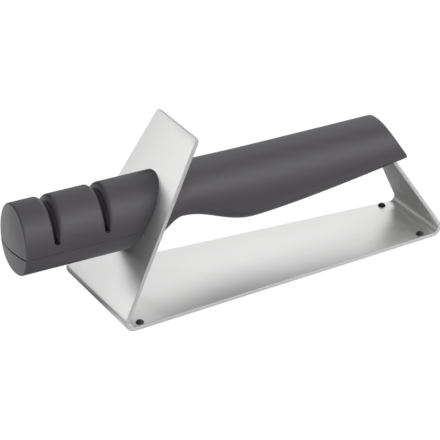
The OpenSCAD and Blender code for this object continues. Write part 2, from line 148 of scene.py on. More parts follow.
def cut(bm, cutter, operation="DIFFERENCE"):
    """Cuts one closed mesh by another, and empties the second."""
    pair = []
    for part in (bm, cutter):
        mesh = bpy.data.meshes.new("cut")
        part.to_mesh(mesh)
        obj = bpy.data.objects.new("cut", mesh)
        bpy.context.scene.collection.objects.link(obj)
        pair.append(obj)
    tool = pair[0].modifiers.new("cut", "BOOLEAN")
    tool.object, tool.operation, tool.solver = pair[1], operation, "EXACT"
    done = pair[0].evaluated_get(bpy.context.evaluated_depsgraph_get())
    bm.clear()
    bm.from_mesh(done.to_mesh())
    done.to_mesh_clear()
    cutter.free()
    for obj in pair:
        mesh = obj.data
        bpy.data.objects.remove(obj)
        bpy.data.meshes.remove(mesh)


def block(x, y, z, turn=Matrix.Identity(4)):
    """A closed box between pairs of lengths, turned afterwards."""
    bm = bmesh.new()
    bmesh.ops.create_cube(bm, size=1.0)
    bmesh.ops.scale(bm, vec=(x[1] - x[0], y[1] - y[0], z[1] - z[0]), verts=bm.verts)
    bmesh.ops.translate(bm, vec=((x[0] + x[1]) / 2, (y[0] + y[1]) / 2, (z[0] + z[1]) / 2),
                        verts=bm.verts)
    bmesh.ops.transform(bm, matrix=turn, verts=bm.verts)
    return bm


def rod(r, low, high, turn=Matrix.Identity(4), sides=96):
    """A closed cylinder along Z, turned afterwards."""
    bm = bmesh.new()
    bmesh.ops.create_cone(bm, cap_ends=True, segments=sides, radius1=r, radius2=r,
                          depth=high - low)
    bmesh.ops.translate(bm, vec=(0, 0, (low + high) / 2), verts=bm.verts)
    bmesh.ops.transform(bm, matrix=turn, verts=bm.verts)
    return bm


def at(x, y=0.0, z=0.0):
    return Matrix.Translation((x, y, z))


def base_half(x):
    share = (x - front_tangent) / (base_len - front_tangent - rear_tangent)
    return (front_w + (rear_w - front_w) * share) / 2


def front_half(along):
    share = (along - front_tangent) / (front_len - front_tangent)
    return (front_w + (front_top_w - front_w) * share) / 2


def rear_half(along):
    share = (along - rear_taper_from) / (mouth_len - rear_taper_from)
    return (rear_w + (rear_top_w - rear_w) * share) / 2


def pull(bm, edge, to, half):
    """Pulls a row of one edge on to a new place and width."""
    made = bmesh.ops.extrude_edge_only(bm, edges=[edge])["geom"]
    for vert in (g for g in made if isinstance(g, bmesh.types.BMVert)):
        vert.co = to + Vector((0, half if vert.co.y > 0 else -half, 0))
    return next(g for g in made if isinstance(g, bmesh.types.BMEdge)
                and all(abs(v.co.x - to.x) < 1e-5 and abs(v.co.z - to.z) < 1e-5
                        for v in g.verts))


def turn_row(bm, edge, centre, angle):
    """Carries the row round a bend."""
    made = bmesh.ops.spin(bm, geom=list(edge.verts) + [edge], cent=centre, axis=(0, 1, 0),
                          angle=angle, steps=bend_steps)["geom_last"]
    return next(g for g in made if isinstance(g, bmesh.types.BMEdge))


# The outer face is drawn as one edge across the sheet, pulled along it and round its bends
up_front = Vector((cos(front_angle), 0, sin(front_angle)))
up_rear = Vector((-cos(rear_angle), 0, sin(rear_angle)))
rear_corner = Vector((base_len, 0, 0))
bm = bmesh.new()
top_corners = [bm.verts.new(up_front * front_len + Vector((0, side * front_half(front_len), 0)))
               for side in (-1, 1)]
edge = bm.edges.new(top_corners)
for along in (front_len - 6, 80, 62, 44, 26, front_tangent):
    edge = pull(bm, edge, up_front * along, front_half(along))
edge = turn_row(bm, edge, (front_tangent, 0, outer_r), front_angle - pi)
for x in (30, 55, 80, 105, 130, 155, 175, base_len - rear_tangent):
    edge = pull(bm, edge, Vector((x, 0, 0)), base_half(x))
edge = turn_row(bm, edge, (base_len - rear_tangent, 0, outer_r), rear_angle - pi)
for along in (20, 32, rear_len - 4, rear_len):
    edge = pull(bm, edge, rear_corner + up_rear * along, rear_half(along))
for corners, r in ((top_corners, plate_corner_r), (list(edge.verts), tab_corner_r)):
    bmesh.ops.bevel(bm, geom=corners, offset=r, segments=10, profile=0.5, material=-1,
                    affect="VERTICES")
bmesh.ops.recalc_face_normals(bm, faces=bm.faces)
low_face = min(bm.faces, key=lambda f: f.calc_center_median().z)
if low_face.normal.z > 0:
    bmesh.ops.reverse_faces(bm, faces=bm.faces)
bmesh.ops.solidify(bm, geom=bm.faces, thickness=sheet_t)
bmesh.ops.recalc_face_normals(bm, faces=bm.faces)

# The cut edge is every face as narrow as the sheet is thick, and its corners are broken
rim = [e for e in bm.edges if e.calc_face_angle(0) > rim_angle]
for face in {f for e in rim for f in e.link_faces}:
    if all(e.calc_face_angle(0) > rim_angle or e.calc_length() < 1.01 * sheet_t
           for e in face.edges):
        face.material_index = 1
bmesh.ops.bevel(bm, geom=rim, offset=sheet_edge_r, segments=3, profile=0.5, material=1,
                affect="EDGES", clamp_overlap=False)

foot_places = [(x, side * (base_half(x) - foot_in))
               for x in (foot_from_front, base_len - foot_from_rear) for side in (-1, 1)]
for x, y in foot_places:
    cut(bm, rod(foot_hole_r, -over, sheet_t + over, at(x, y), 48))

# The window lets the handle's level tongue through the slanted plate
tongue_w, tongue_z, tongue_t = 17.0, 46.0, 8.0
fit_gap, window_r = 0.15, 1.5
window_half = tongue_w / 2 + fit_gap
window_low = tongue_z / sin(front_angle) - fit_gap - sheet_t
window_high = (tongue_z + tongue_t) / sin(front_angle) + sheet_t / tan(front_angle) + fit_gap
window = block((window_low, window_high), (-window_half, window_half), (-sheet_t - over, over))
bmesh.ops.bevel(window, geom=[e for e in window.edges
                              if abs(e.verts[0].co.z - e.verts[1].co.z) > sheet_t],
                offset=window_r, segments=8, profile=0.5, material=-1, affect="EDGES")
bmesh.ops.transform(window, matrix=Matrix.Rotation(-front_angle, 4, "Y"), verts=window.verts)
cut(bm, window)

steel = bpy.data.materials.new("brushed stainless sheet")
tree, shader, where = nodes_of(steel)
streaks = grain(tree, where, (25, 2600, 25), 6.0, 0.6)
clouds = grain(tree, where, (18, 40, 18), 3.0, 0.5)
two_tone(tree, shader, between(tree, streaks, 0.0, 1.0),
         (0.80, 0.80, 0.795, 1), (0.84, 0.84, 0.835, 1))
shine = node(tree, "ShaderNodeMath", {
    0: between(tree, streaks, 0.30, 0.36), 1: between(tree, clouds, -0.02, 0.02)},
    operation="ADD")

# The rear bend is duller, between these metres along X
dull_from, dull_to, dull_by = 0.1130, 0.1150, 0.34
place = node(tree, "ShaderNodeSeparateXYZ", {"Vector": where})
dulled = node(tree, "ShaderNodeMapRange", {
    "Value": place.outputs["X"], "From Min": dull_from, "From Max": dull_to, "To Min": 0.0,
    "To Max": dull_by}, interpolation_type="SMOOTHSTEP")
shine = node(tree, "ShaderNodeMath", {0: shine.outputs["Value"], 1: dulled.outputs["Result"]},
             operation="ADD")
tree.links.new(shine.outputs["Value"], shader.inputs["Roughness"])
tree.links.new(bump(tree, streaks, 0.12, 0.00001), shader.inputs["Normal"])
shader.inputs["Metallic"].default_value = 1.0
shader.inputs["Anisotropic"].default_value = 0.8
across = node(tree, "ShaderNodeCombineXYZ", {"Y": 1.0})
tree.links.new(across.outputs["Vector"], shader.inputs["Tangent"])

cut_edge = bpy.data.materials.new("cut sheet edge")
tree, shader, where = nodes_of(cut_edge)
nicks = grain(tree, where, (900, 900, 900), 4.0)
tree.links.new(between(tree, nicks, 0.60, 0.70), shader.inputs["Roughness"])
tree.links.new(bump(tree, nicks, 0.2, 0.00003), shader.inputs["Normal"])
shader.inputs["Base Color"].default_value = (0.82, 0.82, 0.815, 1)
shader.inputs["Metallic"].default_value = 1.0
piece("stand_sheet", bm, [steel, cut_edge], "stainless_sheet", "root", "stand")

# ---------------------------------------------------------------- feet
# Four black rubber feet pushed into holes at the corners of the base: a round pad that
# the object stands on, a neck in the hole, and a domed head that shows on top.
foot_pad_r, foot_pad_h, pad_low_r, pad_top_r = 2.4, 0.6, 0.2, 0.15
foot_head_r, foot_head_h, head_low_r, dome_start = 2.1, 1.6, 0.25, 8

rubber = bpy.data.materials.new("black rubber")
tree, shader, where = nodes_of(rubber)
specks = grain(tree, where, (2500, 2500, 2500), 3.0)
two_tone(tree, shader, specks, (0.018, 0.018, 0.02, 1), (0.034, 0.034, 0.037, 1))
tree.links.new(between(tree, specks, 0.34, 0.46), shader.inputs["Roughness"])
tree.links.new(bump(tree, specks, 0.3, 0.00002), shader.inputs["Normal"])


def turned(profile, steps, bored=False):
    """A solid of revolution about Z. Its half outline ends on the axis, or closes on itself."""
    bm = bmesh.new()
    line = [bm.verts.new((r, 0, z)) for r, z in profile]
    edges = [bm.edges.new(pair) for pair in zip(line, line[1:] + (line[:1] if bored else []))]
    bmesh.ops.spin(bm, geom=line + edges, cent=(0, 0, 0), axis=(0, 0, 1), angle=2 * pi,
                   steps=steps, use_merge=True)
    bmesh.ops.remove_doubles(bm, verts=bm.verts, dist=1e-5)
    bmesh.ops.recalc_face_normals(bm, faces=bm.faces)
    return bm


def arc(centre, r, start, end, steps):
    """Points of an arc in the plane of a half outline."""
    return [(centre[0] + r * cos(radians(start + (end - start) * k / steps)),
             centre[1] + r * sin(radians(start + (end - start) * k / steps)))
            for k in range(steps + 1)]


# The dome is a shallow arc through the head's rim and its top
dome_r = (foot_head_r ** 2 + foot_head_h ** 2) / (2 * foot_head_h)
dome_z = sheet_t + foot_head_h - dome_r
dome_edge = degrees(acos(foot_head_r / dome_r))
for name, (x, y) in zip(("foot_front_left", "foot_front_right", "foot_rear_left",
                         "foot_rear_right"), foot_places):
    outline = ([(0, -foot_pad_h)]
               + arc((foot_pad_r - pad_low_r, pad_low_r - foot_pad_h), pad_low_r, -90, 0, 4)
               + arc((foot_pad_r - pad_top_r, -pad_top_r), pad_top_r, 0, 90, 3)
               + [(foot_hole_r, 0), (foot_hole_r, sheet_t)]
               + arc((foot_head_r - head_low_r, sheet_t + head_low_r), head_low_r, -90, 0, 4)
               + arc((0, dome_z), dome_r, dome_edge + dome_start, 90, 10))
    outline[-1] = (0, outline[-1][1])
    bm = turned(outline, 48)
    bmesh.ops.translate(bm, vec=(x, y, 0), verts=bm.verts)
    piece(name + "_rubber", bm, [rubber], "foot_rubber", "root", name)

# ---------------------------------------------------------------- handle
# The handle is one charcoal moulding with a soft satin skin: a slanted front that lies
# against the plate, a finger guard, a neck, a belly and a slanted tail. Its tongue runs
# through the plate's window, and the rear plate's tab stands in a slot under the tail.
body_w, top_z, head_z, waist_z = 30.4, 66.6, 29.4, 46.0
guard_x, neck_x, neck_z, belly_x, belly_z = 26.0, 46.5, 41.5, 90.0, 30.1
tail_x, tail_z, tail_slant, tail_bulge, tail_edge_r = 182.5, 43.0, 14.5, -1.4, 1.4
low_power, up_power, tail_power, waist_lift = 2.25, 2.05, 1.41, 0.35
tongue_x, tongue_end_x = 14.0, 40.0
ring_n, handle_rings, edge_steps, tail_face_insets = 144, 150, 8, (3, 5, 7, 9, 11)
half_w = body_w / 2


def ease(start, end, share):
    """Goes from a start to an end with no slope at either."""
    return start + (end - start) * (1 - cos(pi * share)) / 2


def underside(x):
    """How high the underside runs: level, up to the neck, down to the belly, up to the tail."""
    if x < guard_x:
        return head_z
    if x < neck_x:
        return ease(head_z, neck_z, (x - guard_x) / (neck_x - guard_x))
    if x < belly_x:
        return ease(neck_z, belly_z, (x - neck_x) / (belly_x - neck_x))
    return belly_z + (tail_z - belly_z) * ((x - belly_x) / (tail_x - belly_x)) ** tail_power


def waist(x):
    """Where the section is widest."""
    return waist_z + (underside(x) - head_z) * waist_lift


def curve(value, power):
    """A sine or cosine bent to a superellipse of that power."""
    return (1 if value >= 0 else -1) * abs(value) ** (2 / power)


def outline_point(angle, low, high, wide, half):
    """A point of the body's section: across, and up."""
    power, reach = (low_power, wide - low) if sin(angle) < 0 else (up_power, high - wide)
    return half * curve(cos(angle), power), wide + reach * curve(sin(angle), power)


def plate_x(z):
    return z / tan(front_angle)


def plate_back_x(z):
    return plate_x(z) + sheet_t / sin(front_angle)


def ring(bm, points):
    """A closed row of edges through the points."""
    verts = bmesh.ops.create_circle(bm, segments=len(points), radius=1.0)["verts"]
    for vert, point in zip(verts, points):
        vert.co = point
    return list(dict.fromkeys(e for v in verts for e in v.link_edges))


def skin(rings):
    """A closed skin over rows of points, with a flat end on the first and the last."""
    bm = bmesh.new()
    rows = [ring(bm, points) for points in rings]
    for first, second in zip(rows, rows[1:]):
        bmesh.ops.bridge_loops(bm, edges=first + second)
    bmesh.ops.edgeloop_fill(bm, edges=rows[0])
    bmesh.ops.edgeloop_fill(bm, edges=rows[-1])
    bmesh.ops.recalc_face_normals(bm, faces=bm.faces)
    return bm


first_x, last_x = plate_back_x(head_z), tail_x - tail_edge_r
lean_front, lean_tail = 1 / tan(front_angle), -tail_slant / (top_z - tail_z)


def lean_x(x, z, push):
    """Leans a ring from the plate's angle at the front to the tail's at the end."""
    share = (x - first_x) / (last_x - first_x)
    v = (z - underside(x)) / (top_z - underside(x))
    return (x + push + (z - underside(x)) * (lean_front + (lean_tail - lean_front) * share)
            + tail_bulge * 4 * v * (1 - v) * share)


def handle_ring(x, inset, push):
    """A ring of the handle, drawn in by an inset and pushed along."""
    made = []
    for k in range(ring_n):
        y, z = outline_point(2 * pi * k / ring_n, underside(x) + inset, top_z - inset,
                             waist(x), half_w - inset)
        made.append((lean_x(x, z, push), y, z))
    return made


handle_rows = [handle_ring(first_x + (last_x - first_x) * k / handle_rings, 0, 0)
               for k in range(handle_rings + 1)]
handle_rows += [handle_ring(last_x, tail_edge_r * (1 - cos(a)), tail_edge_r * sin(a))
                for a in (radians(90 * k / edge_steps) for k in range(1, edge_steps + 1))]
handle_rows += [handle_ring(last_x, inset, tail_edge_r) for inset in tail_face_insets]
bm = skin(handle_rows)

tongue = block((tongue_x, tongue_end_x), (-tongue_w / 2, tongue_w / 2),
               (tongue_z, tongue_z + tongue_t))
cut(bm, tongue, "UNION")
rear_turn = Matrix.Translation(rear_corner) @ Matrix.Rotation(rear_angle - pi, 4, "Y")
tab_slot_half = rear_half(rear_len) + fit_gap
tab_slot = block((mouth_len - tab_depth, rear_len + fit_gap), (-tab_slot_half, tab_slot_half),
                 (-fit_gap, sheet_t + fit_gap), rear_turn)
cut(bm, tab_slot)

charcoal = bpy.data.materials.new("charcoal moulding")
tree, shader, where = nodes_of(charcoal)
skin_grain = grain(tree, where, (2200, 2200, 2200), 4.0)
flow = grain(tree, where, (12, 40, 40), 3.0)
two_tone(tree, shader, between(tree, flow, 0.0, 1.0),
         (0.0530, 0.0488, 0.0552, 1), (0.0598, 0.0551, 0.0622, 1))
shine = node(tree, "ShaderNodeMath", {
    0: between(tree, skin_grain, 0.43, 0.51), 1: between(tree, flow, -0.02, 0.02)},
    operation="ADD")
tree.links.new(shine.outputs["Value"], shader.inputs["Roughness"])
tree.links.new(bump(tree, skin_grain, 0.22, 0.00003), shader.inputs["Normal"])
shader.inputs["Specular IOR Level"].default_value = 0.8
piece("handle_moulding", bm, [charcoal], "body_plastic", "root", "handle")

# ---------------------------------------------------------------- head shell
# The upper moulding of the head holds two slots across it that guide the blade, whose lips are
# rounded and widen to the top; their walls are painted lighter, painted light for what reaches
# down into them. It ends in a slightly domed front face, and behind it lies flat against the
# plate.
face_edge_r, seam_z = 0.9, 42.7
slot_xs, slot_floor_z, slot_w = (-22.8, 4.4), 47.0, 2.6
slot_lip_r, lip_power, front_lip_r, front_lip_power, lip_foot_z = 3.2, 0.7, 2.3, 0.35, 46.0
shell_t, face_t, bulkhead_t, lip_t, lip_h = 2.4, 3.0, 2.5, 1.0, 1.5
seam_edge_r, face_groove_x, face_groove_h = 0.12, -39.5, 0.3
cavity_x = face_t - head_reach
beyond, full_width = 90.0, (-20.0, 20.0)    # past the head's ends, and past its sides

# Wheels, axles and holders, which the room inside is made for, along each axle from its
# slot: where a wheel, a wall and the holder's end stand
axle_r, axle_z, run_gap, wheel_r = 1.5, 43.5, 0.05, 9.3
wheel_from, wall_from, holder_half = 0.42, 5.14, 7.14
trough_r, holder_r = 9.9, 11.4

# Screws: the cover's two stand before the front holder and between the holders
screw_r, screw_len, screw_head_r, screw_head_h, pilot_r = 1.2, 14.0, 2.3, 1.6, 1.25
recess_half, recess_w, recess_depth = 1.61, 0.83, 0.96
head_round, point_len, point_r = 0.5, 1.2, 0.3
post_r, boss_r, seat_z = 2.8, 3.2, 36.0
cover_screw_xs = ((cavity_x + slot_xs[0] - holder_half) / 2, (slot_xs[0] + slot_xs[1]) / 2)
tongue_screw_x, tongue_screw_ys = 18.5, (-5.0, 5.0)
cover_pilot_z, tongue_pilot_z = seat_z + screw_len + 1, tongue_z + screw_len + 0.5


def on_axle(x):
    """Turns a rod to lie along the axle of a pair of wheels."""
    return at(x, 0, axle_z) @ Matrix.Rotation(pi / 2, 4, "Y")


def lip_drop(x, z):
    """How far the surface rolls in beside a slot, and round the slot's floor."""
    nearest = min(slot_xs, key=lambda c: abs(x - c))
    off = abs(x - nearest)
    share = max(0.0, (z - lip_foot_z) / (top_z - lip_foot_z))
    r = (front_lip_r * share ** front_lip_power if x < nearest
         else slot_lip_r * share ** lip_power)
    centre_z = slot_floor_z + slot_w / 2
    far = off if z > centre_z else sqrt(off ** 2 + (centre_z - z) ** 2)
    d = max(0.0, far - slot_w / 2)
    return r - sqrt(r * r - (r - d) ** 2) if d < r else 0.0


# A ring's points lie evenly round it, and close together on each side by the slots' floors
around_n, floor_n, floor_start, floor_step, too_close = 176, 34, 1.2, 0.45, 0.004
around = [2 * pi * k / around_n for k in range(around_n)]
for side, sense in ((0, 1), (pi, -1)):
    close = [side + sense * radians(floor_start + floor_step * k) for k in range(floor_n)]
    around = [a for a in around if all(abs((a - c + pi) % (2 * pi) - pi) > too_close
                                       for c in close)] + close
around = sorted(a % (2 * pi) for a in around)


def head_ring(x, inset):
    """A ring of the head; at a slot its points also step sideways with the lip's radius."""
    made = []
    for angle in around:
        y, z = outline_point(angle, head_z + inset, top_z - inset, waist_z, half_w - inset)
        drop = inset + lip_drop(x, z)
        y, z = outline_point(angle, head_z + drop, top_z - drop, waist_z, half_w - drop)
        made.append((x, y, z))
    return made


# Its rings run from the domed face over its rounded edge to the plate, with most of them
# on the slots' lips. Each station is an inset and a place along the head.
face_steps, flat_r = 10, half_w - face_edge_r
stations = [(half_w - flat_r * share, -head_reach - face_bulge * (1 - share ** 2))
            for share in (k / face_steps for k in range(1, face_steps))]
stations += [(face_edge_r * (1 - cos(a)), -head_reach + face_edge_r * (1 - sin(a)))
             for a in (radians(90 * k / edge_steps) for k in range(edge_steps, -1, -1))]
lip_steps = [0.02, 0.06, 0.13, 0.23, 0.36, 0.52, 0.72, 0.96, 1.25, 1.6, 2.0, 2.45, 2.9, 3.3]
lip_start, lip_reach, slot_step, plain_start, plain_step = 0.02, 5.0, 0.2, -38.5, 2.0
xs = set()
for c in slot_xs:
    for side in (-1, 1):
        xs |= {round(c + side * (slot_w / 2 - lip_start + s), 4) for s in lip_steps}
    xs |= {round(c + slot_step * k, 4) for k in range(-6, 7)}
plain = [plain_start + plain_step * k for k in range(40)]
xs |= {x for x in plain if all(abs(x - c) > lip_reach for c in slot_xs)}
stations += [(0, x) for x in sorted(xs)]
inside_n = 96


def before_plate(bm, forward):
    """Keeps what lies in front of a plane parallel to the plate, and closes it."""
    normal = Vector((-sin(front_angle), 0, cos(front_angle)))
    halves = bmesh.ops.bisect_plane(bm, geom=list(bm.verts) + list(bm.edges) + list(bm.faces),
                                    plane_co=normal * forward, plane_no=normal,
                                    clear_inner=True)
    bmesh.ops.edgeloop_fill(bm, edges=[g for g in halves["geom_cut"]
                                       if isinstance(g, bmesh.types.BMEdge)])
    bmesh.ops.recalc_face_normals(bm, faces=bm.faces)
    return bm


def head_solid(rows):
    """The head over rows of stations, up to the plate."""
    return before_plate(skin([head_ring(x, inset) for inset, x in rows]), 0)


def head_inside(wall, forward):
    """The room in the head, drawn in by a wall and ending before the plate."""
    section = [outline_point(2 * pi * k / inside_n, head_z + wall, top_z - wall, waist_z,
                             half_w - wall) for k in range(inside_n)]
    return before_plate(skin([[(x, y, z) for y, z in section]
                              for x in (cavity_x, plate_x(top_z))]), forward)


def keep_side(bm, z, up):
    """Keeps what lies above or below a height, closes it and breaks the edge."""
    halves = bmesh.ops.bisect_plane(bm, geom=list(bm.verts) + list(bm.edges) + list(bm.faces),
                                    plane_co=(0, 0, z), plane_no=(0, 0, 1),
                                    clear_inner=up, clear_outer=not up)
    rim = [g for g in halves["geom_cut"] if isinstance(g, bmesh.types.BMEdge)]
    bmesh.ops.edgeloop_fill(bm, edges=rim)
    bmesh.ops.recalc_face_normals(bm, faces=bm.faces)
    bmesh.ops.bevel(bm, geom=rim, offset=seam_edge_r, segments=2, profile=0.5, material=-1,
                    affect="EDGES", clamp_overlap=False)


# The room inside: blocks guide the blade over each pair of wheels, and posts take screws
floor_flat = 0.002    # half the flat left between the two roundings of a slot's floor
room = head_inside(shell_t, bulkhead_t)
for x in slot_xs:
    cut(room, block((x - holder_half, x + holder_half), full_width,
                    (slot_floor_z + fit_gap, beyond)))
for x in cover_screw_xs:
    cut(room, rod(post_r, seam_z - over, beyond, at(x), 48))
for y in tongue_screw_ys:
    cut(room, rod(post_r, tongue_z + tongue_t + fit_gap, beyond, at(tongue_screw_x, y), 48))
for x in slot_xs:
    cut(room, rod(trough_r, -wall_from, wall_from, on_axle(x)), "UNION")
    slot = block((x - slot_w / 2, x + slot_w / 2), full_width, (slot_floor_z, beyond))
    low = [e for e in slot.edges if all(v.co.z < slot_floor_z + 1 for v in e.verts)
           and abs(e.verts[0].co.x - e.verts[1].co.x) < 0.01]
    bmesh.ops.bevel(slot, geom=low, offset=slot_w / 2 - floor_flat, segments=20, profile=0.5,
                    material=-1, affect="EDGES")
    cut(room, slot, "UNION")
cut(room, block((tongue_x - fit_gap, beyond), (-window_half, window_half),
                (tongue_z - fit_gap, tongue_z + tongue_t + fit_gap)), "UNION")
for x in cover_screw_xs:
    cut(room, rod(pilot_r, seam_z - over, cover_pilot_z, at(x), 32), "UNION")
for y in tongue_screw_ys:
    cut(room, rod(pilot_r, tongue_z + tongue_t - over, tongue_pilot_z,
                  at(tongue_screw_x, y), 32), "UNION")

# Painted light: the slots' walls get a lighter colour than the moulding, standing in for light
# that reaches down into the narrow slots; its mottle is random tone
painted_slot_light = bpy.data.materials.new("slot walls painted lighter")
tree, shader, where = nodes_of(painted_slot_light)
painted_light_mottle = grain(tree, where, (2200, 2200, 2200), 4.0)
two_tone(tree, shader, painted_light_mottle, (0.17, 0.16, 0.175, 1), (0.22, 0.205, 0.225, 1))
tree.links.new(between(tree, painted_light_mottle, 0.45, 0.55), shader.inputs["Roughness"])

# The seam is wider across the face, where both mouldings are cut back
face_groove = ((-beyond, face_groove_x), full_width,
               (seam_z - fit_gap - face_groove_h, seam_z + face_groove_h))
bm = head_solid(stations)
cut(bm, block(*face_groove))
keep_side(bm, seam_z, True)
cut(bm, room)

# The slots' walls above their rounded floors carry the painted light
painted_wall_z, painted_wall_half = slot_floor_z + slot_w / 2 - 0.1, slot_w / 2 + 0.01
for face in bm.faces:
    if any(all(abs(v.co.x - c) < painted_wall_half and v.co.z > painted_wall_z for v in face.verts)
           for c in slot_xs):
        face.material_index = 1
piece("head_shell_moulding", bm, [charcoal, painted_slot_light], "body_plastic", "root", "head_shell")

# ---------------------------------------------------------------- head cover
# The lower moulding closes the head from below. A lip locates it in the shell, cradles
# carry the wheel holders, and two screws in deep wells hold it.
inner = shell_t + fit_gap + lip_t
boss_from, slot_rings, well_bevel = 1.5, 2.0, 0.4
bm = head_solid([(inset, x) for inset, x in stations
                 if inset > 0 or all(abs(x - c) > slot_rings for c in slot_xs)])
cut(bm, block(*face_groove))
keep_side(bm, seam_z - fit_gap, False)
cut(bm, head_inside(inner, bulkhead_t))
lip = head_inside(shell_t + fit_gap, bulkhead_t + fit_gap)
cut(lip, head_inside(inner, bulkhead_t))
cut(lip, block((-beyond, beyond), full_width, (seam_z - lip_h, seam_z + lip_h)),
    "INTERSECT")
cut(bm, lip, "UNION")
for x in cover_screw_xs:
    cut(bm, rod(boss_r, head_z + boss_from, seam_z - fit_gap, at(x), 48), "UNION")
for x in slot_xs:
    cut(bm, rod(holder_r + fit_gap, -holder_half - fit_gap, holder_half + fit_gap,
                on_axle(x)))
well_r = screw_head_r + fit_gap
for x in cover_screw_xs:
    well = turned([(0, head_z - over), (well_r + over + well_bevel, head_z - over),
                   (well_r, head_z + well_bevel), (well_r, seat_z),
                   (screw_r + fit_gap, seat_z), (screw_r + fit_gap, beyond), (0, beyond)], 48)
    bmesh.ops.transform(well, matrix=at(x), verts=well.verts)
    cut(bm, well)
piece("head_cover_moulding", bm, [charcoal], "body_plastic", "root", "head_cover")

# ---------------------------------------------------------------- screws
# Zinc plated screws with a cross recess: two hold the cover, two the handle's tongue.
zinc = bpy.data.materials.new("zinc plated steel")
tree, shader, where = nodes_of(zinc)
plating = grain(tree, where, (1500, 1500, 1500), 4.0)
two_tone(tree, shader, between(tree, plating, 0.0, 1.0),
         (0.50, 0.51, 0.52, 1), (0.62, 0.62, 0.62, 1))
tree.links.new(between(tree, plating, 0.26, 0.38), shader.inputs["Roughness"])
tree.links.new(bump(tree, plating, 0.2, 0.00002), shader.inputs["Normal"])
shader.inputs["Metallic"].default_value = 1.0


def screws(name, places, cad_node):
    """Screws as one piece, each with its head down and its point up."""
    both = bmesh.new()
    for place in places:
        bm = turned([(0, -screw_head_h), (screw_head_r - head_round, -screw_head_h)]
                    + arc((screw_head_r - head_round, head_round - screw_head_h), head_round,
                          -80, 0, 5)
                    + [(screw_head_r, 0), (screw_r, 0), (screw_r, screw_len - point_len),
                       (point_r, screw_len), (0, screw_len)], 48)
        for turn in (0, pi / 2):
            cut(bm, block((-recess_half, recess_half), (-recess_w / 2, recess_w / 2),
                          (-screw_head_h - over, recess_depth - screw_head_h),
                          Matrix.Rotation(turn, 4, "Z")))
        bmesh.ops.transform(bm, matrix=at(*place), verts=bm.verts)
        mesh = bpy.data.meshes.new("screw")
        bm.to_mesh(mesh)
        bm.free()
        both.from_mesh(mesh)
        bpy.data.meshes.remove(mesh)
    piece(name, both, [zinc], "screw_steel", "root", cad_node)


screws("cover_screws_zinc", [(x, 0, seat_z) for x in cover_screw_xs], "cover_screws")
screws("tongue_screws_zinc", [(tongue_screw_x, y, tongue_z) for y in tongue_screw_ys],
       "tongue_screws")

# ---------------------------------------------------------------- wheels
# Two pairs of bevelled discs on fixed axles. The front pair is steel coated with diamond
# grit, the rear pair a dark sintered ceramic. Each pair leaves a V for the blade.
vee_r, vee_angle, wheel_t, vee_edge_r, back_edge_r = 4.7, 18, 4.0, 0.25, 0.3
bore_r = axle_r + run_gap
cone_t = (wheel_r - vee_r) * tan(radians(vee_angle))

diamond = bpy.data.materials.new("diamond grit on steel")
tree, shader, where = nodes_of(diamond)
cells = node(tree, "ShaderNodeTexVoronoi", {"Vector": where, "Scale": 6000.0})
two_tone(tree, shader, cells.outputs["Distance"],
         (0.24, 0.24, 0.245, 1), (0.07, 0.07, 0.072, 1))
tree.links.new(between(tree, cells.outputs["Distance"], 0.42, 0.62),
               shader.inputs["Roughness"])
tree.links.new(bump(tree, cells.outputs["Distance"], 0.6, 0.00006), shader.inputs["Normal"])
shader.inputs["Metallic"].default_value = 0.7

ceramic = bpy.data.materials.new("dark sintered ceramic")
tree, shader, where = nodes_of(ceramic)
pores = grain(tree, where, (5000, 5000, 5000), 3.0)
two_tone(tree, shader, pores, (0.045, 0.045, 0.047, 1), (0.075, 0.075, 0.077, 1))
tree.links.new(between(tree, pores, 0.40, 0.55), shader.inputs["Roughness"])
tree.links.new(bump(tree, pores, 0.3, 0.00002), shader.inputs["Normal"])

for pair, x, material, finish in (("coarse", slot_xs[0], diamond, "diamond_wheel"),
                                  ("fine", slot_xs[1], ceramic, "ceramic_wheel")):
    for end, side in (("front", -1), ("rear", 1)):
        bm = turned([(bore_r, 0), (vee_r, 0)]
                    + arc((wheel_r - vee_edge_r, cone_t + vee_edge_r), vee_edge_r,
                          vee_angle - 90, 0, 5)
                    + arc((wheel_r - back_edge_r, wheel_t - back_edge_r), back_edge_r, 0, 90, 5)
                    + [(bore_r, wheel_t)], 128, bored=True)
        bmesh.ops.transform(bm, verts=bm.verts, matrix=at(x, 0, axle_z) @ Matrix.Rotation(
            side * pi / 2, 4, "Y") @ at(0, 0, wheel_from))
        name = f"{pair}_wheel_{end}"
        piece(name + "_disc", bm, [material], finish, name + "_body", name)

# ---------------------------------------------------------------- holders and axles
# Each pair stands in a black acetal trough with end walls that carry its ground axle;
# a spacer parts the discs and washers keep them off the walls.
acetal = bpy.data.materials.new("black acetal")
tree, shader, where = nodes_of(acetal)
mould = grain(tree, where, (1800, 1800, 1800), 3.0)
two_tone(tree, shader, mould, (0.016, 0.016, 0.017, 1), (0.024, 0.024, 0.026, 1))
tree.links.new(between(tree, mould, 0.36, 0.46), shader.inputs["Roughness"])
tree.links.new(bump(tree, mould, 0.2, 0.00002), shader.inputs["Normal"])

ground = bpy.data.materials.new("ground steel")
tree, shader, where = nodes_of(ground)
scratches = grain(tree, where, (80, 3000, 3000), 4.0)
two_tone(tree, shader, scratches, (0.54, 0.54, 0.535, 1), (0.66, 0.66, 0.655, 1))
tree.links.new(between(tree, scratches, 0.22, 0.34), shader.inputs["Roughness"])
tree.links.new(bump(tree, scratches, 0.15, 0.00001), shader.inputs["Normal"])
shader.inputs["Metallic"].default_value = 1.0

for pair in ("coarse", "fine"):
    for part, material in (("holder", acetal), ("axle", ground), ("spacer", ground),
                           ("washers", ground)):
        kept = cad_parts[f"{pair}_{part}"]
        kept.data.materials.clear()
        kept.data.materials.append(material)
